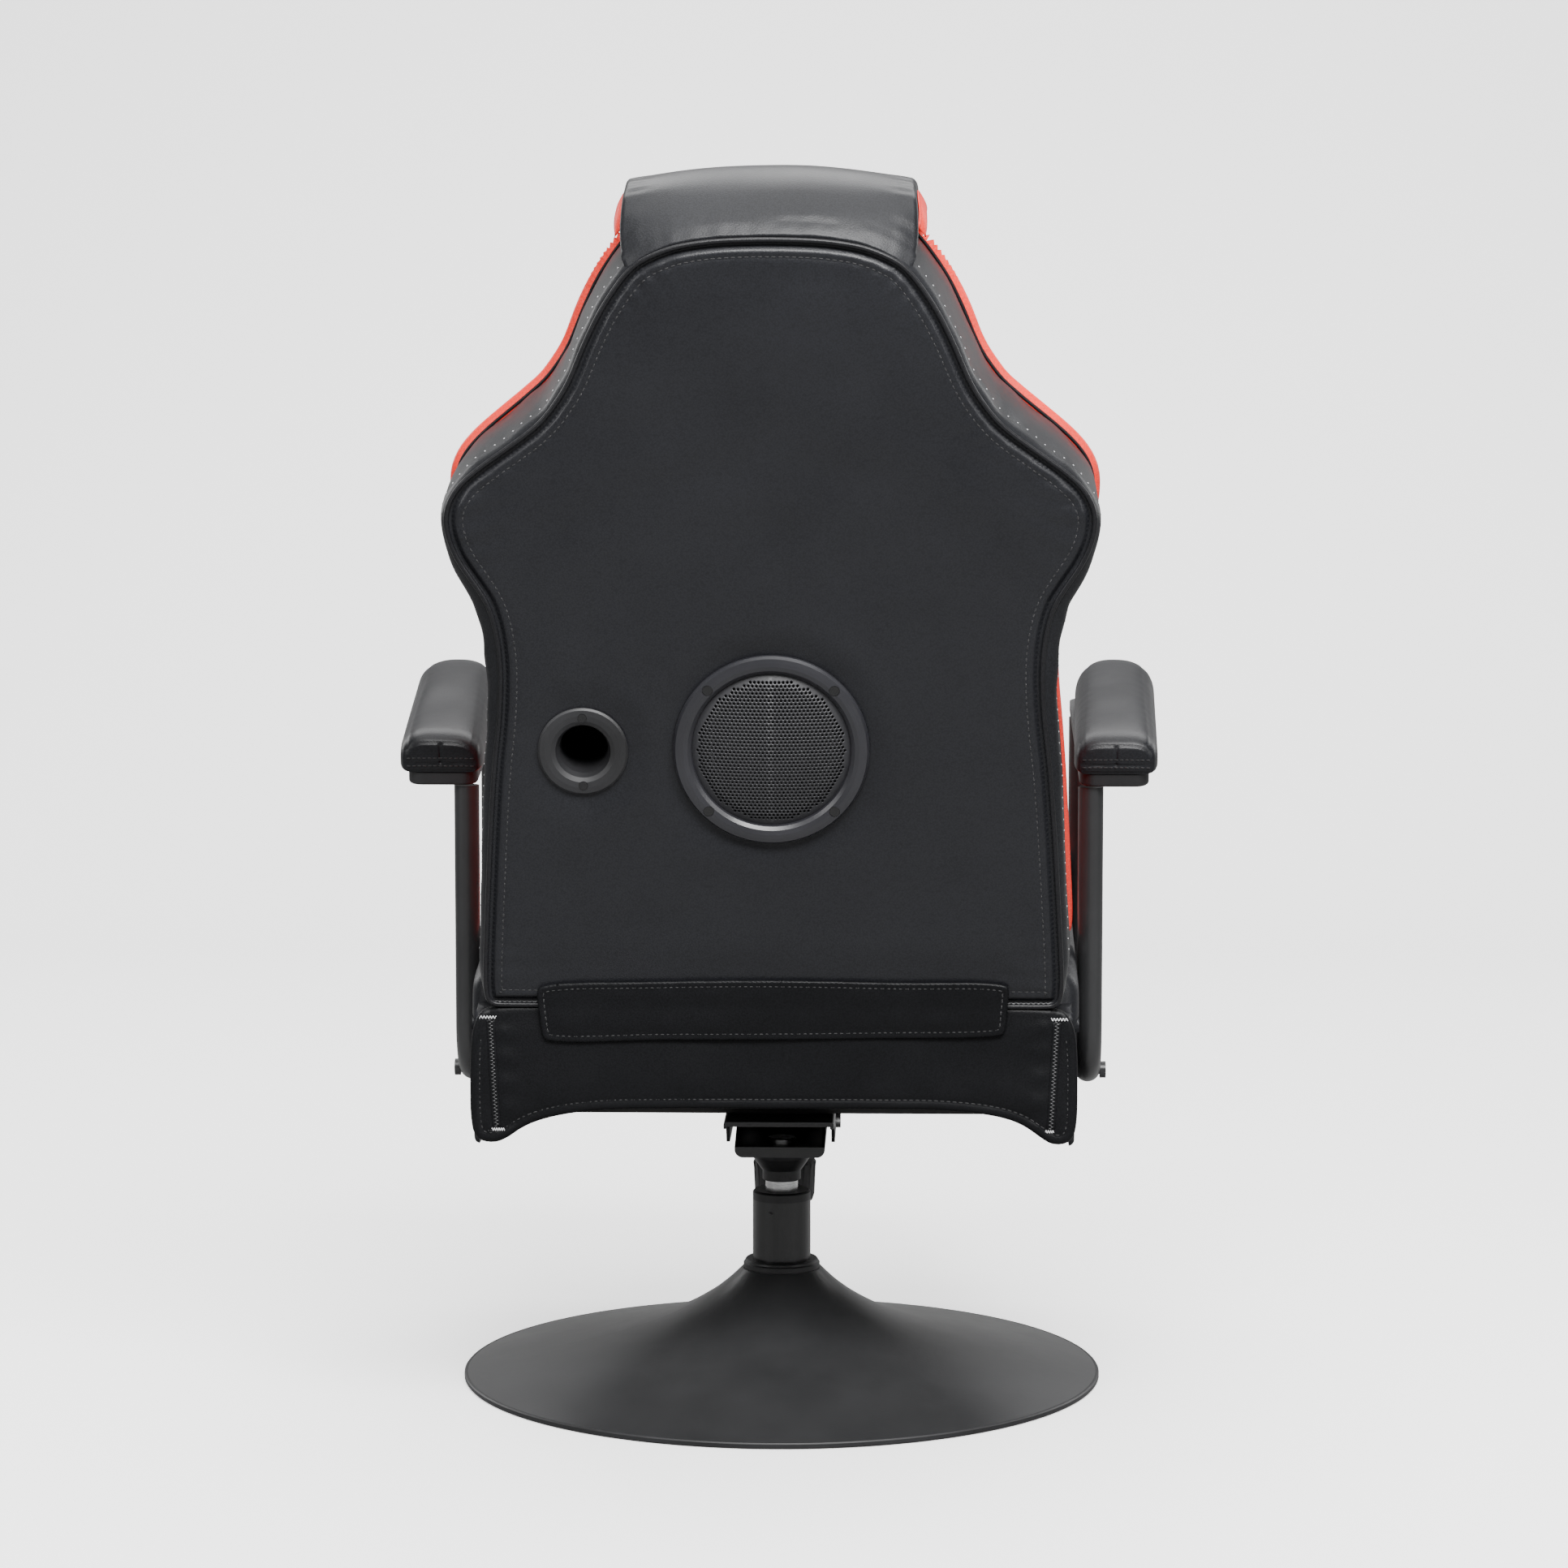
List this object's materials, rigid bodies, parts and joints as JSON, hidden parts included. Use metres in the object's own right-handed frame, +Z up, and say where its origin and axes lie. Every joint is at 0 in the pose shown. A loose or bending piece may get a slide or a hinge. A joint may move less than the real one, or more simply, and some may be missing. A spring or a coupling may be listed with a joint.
{
  "type": "gaming chair",
  "caption": "pedestal gaming chair: padded bucket seat with armrests, rear woofer and bass port, rocking on a swivel mechanism over a round trumpet base",
  "frame": {"origin": "on the floor under the centre of the column", "axes": "+Z up, the sitter faces -Y, +X is the sitter's left"},
  "size_m": [0.63, 0.7144, 1.0344],
  "materials": {
    "black_powder_coat": "satin",
    "black_plastic": "satin",
    "bright_steel": "satin",
    "black_steel": "satin",
    "black_rubber": "matte",
    "timber_board": "matte",
    "grey_foam": "matte",
    "black_cover_padded": "satin",
    "black_cover": "satin",
    "red_cover_padded": "satin",
    "cone_paper": "matte"
  },
  "bodies": {
    "base": {"base_trumpet": "black_powder_coat", "base_underplate": "black_powder_coat", "base_edge_trim": "black_plastic", "base_collar": "black_plastic", "column_tube": "black_powder_coat", "column_cap": "black_plastic", "column_bushing": "black_plastic", "column_set_screw": "black_steel", "foot_bolts": "bright_steel", "thrust_bearing": "bright_steel"},
    "swivel": {"spindle": "bright_steel", "spindle_sleeve": "black_plastic", "mechanism_housing": "black_powder_coat", "tilt_stop_bumper": "black_rubber", "tension_spring": "black_steel"},
    "tension_rod": {"tension_bolt": "bright_steel", "tension_washer": "bright_steel"},
    "tension_knob": {"tension_knob": "black_plastic"},
    "woofer_cone": {"woofer_cone": "cone_paper"},
    "volume_knob": {"volume_knob": "black_plastic"},
    "bass_knob": {"bass_knob": "black_plastic"},
    "power_button": {"power_button": "black_plastic"},
    "seat": {"upper_bracket": "black_powder_coat", "arm_tube_left": "black_powder_coat", "arm_tube_right": "black_powder_coat", "back_brackets": "black_powder_coat", "arm_plate_left": "black_plastic", "arm_plate_right": "black_plastic", "bass_port": "black_plastic", "control_panel": "black_plastic", "woofer_ring": "black_plastic", "seat_zippers": "black_plastic", "tilt_pivot_pin": "bright_steel", "mount_bolts": "bright_steel", "speaker_screws": "black_steel", "arm_bolts": "black_steel", "woofer_basket": "black_steel", "woofer_grille": "black_steel", "seat_base_board": "timber_board", "seat_side_rails": "timber_board", "seat_cross_rails": "timber_board", "back_board": "timber_board", "speaker_enclosure": "timber_board", "seat_foam_core": "grey_foam", "back_foam_core": "grey_foam", "seat_center_cushion": "black_cover_padded", "seat_skirt_front": "black_cover_padded", "seat_skirt_left": "black_cover_padded", "seat_skirt_right": "black_cover_padded", "seat_rear_apron": "black_cover_padded", "back_center_cushion": "black_cover_padded", "headrest_pad": "black_cover_padded", "arm_pad_left": "black_cover_padded", "arm_pad_right": "black_cover_padded", "back_rear_panel": "black_cover", "seat_back_flap": "black_cover", "seat_bolster_left": "red_cover_padded", "seat_bolster_right": "red_cover_padded", "back_bolster_left": "red_cover_padded", "back_bolster_right": "red_cover_padded"}
  },
  "joints": [
    {"name": "swivel", "type": "hinge", "parent": "base", "child": "swivel", "pos_m": [0, 0, 0.165], "axis": [0, 0, 1], "continuous": true},
    {"name": "rock", "type": "hinge", "parent": "swivel", "child": "seat", "pos_m": [0, -0.035, 0.217], "axis": [-1, 0, 0], "range_deg": [0, 12], "stiffness_Nm_per_rad": 160, "springref_deg": -17.19, "deforming": ["tension_spring"]},
    {"name": "rod_hang", "type": "hinge", "parent": "seat", "child": "tension_rod", "pos_m": [0, -0.098, 0.2372], "axis": [1, 0, 0], "range_deg": [0, 12]},
    {"name": "tension_turn", "type": "hinge", "parent": "tension_rod", "child": "tension_knob", "pos_m": [0, -0.098, 0.15], "axis": [0, 0, 1], "range_deg": [-360, 360]},
    {"name": "cone_travel", "type": "slide", "parent": "seat", "child": "woofer_cone", "axis": [0, 0.9781, -0.2079], "range_m": [-0.003, 0.003], "stiffness_N_per_m": 2500},
    {"name": "volume_turn", "type": "hinge", "parent": "seat", "child": "volume_knob", "pos_m": [-0.257, -0.264, 0.306], "axis": [-1, 0, 0], "range_deg": [-150, 150]},
    {"name": "bass_turn", "type": "hinge", "parent": "seat", "child": "bass_knob", "pos_m": [-0.257, -0.232, 0.306], "axis": [-1, 0, 0], "range_deg": [-150, 150]},
    {"name": "power_press", "type": "slide", "parent": "seat", "child": "power_button", "axis": [1, 0, 0], "range_m": [0, 0.0015], "stiffness_N_per_m": 600}
  ],
  "couplings": [
    {"joint": "rod_hang", "follows": "rock", "ratio": 1}
  ]
}
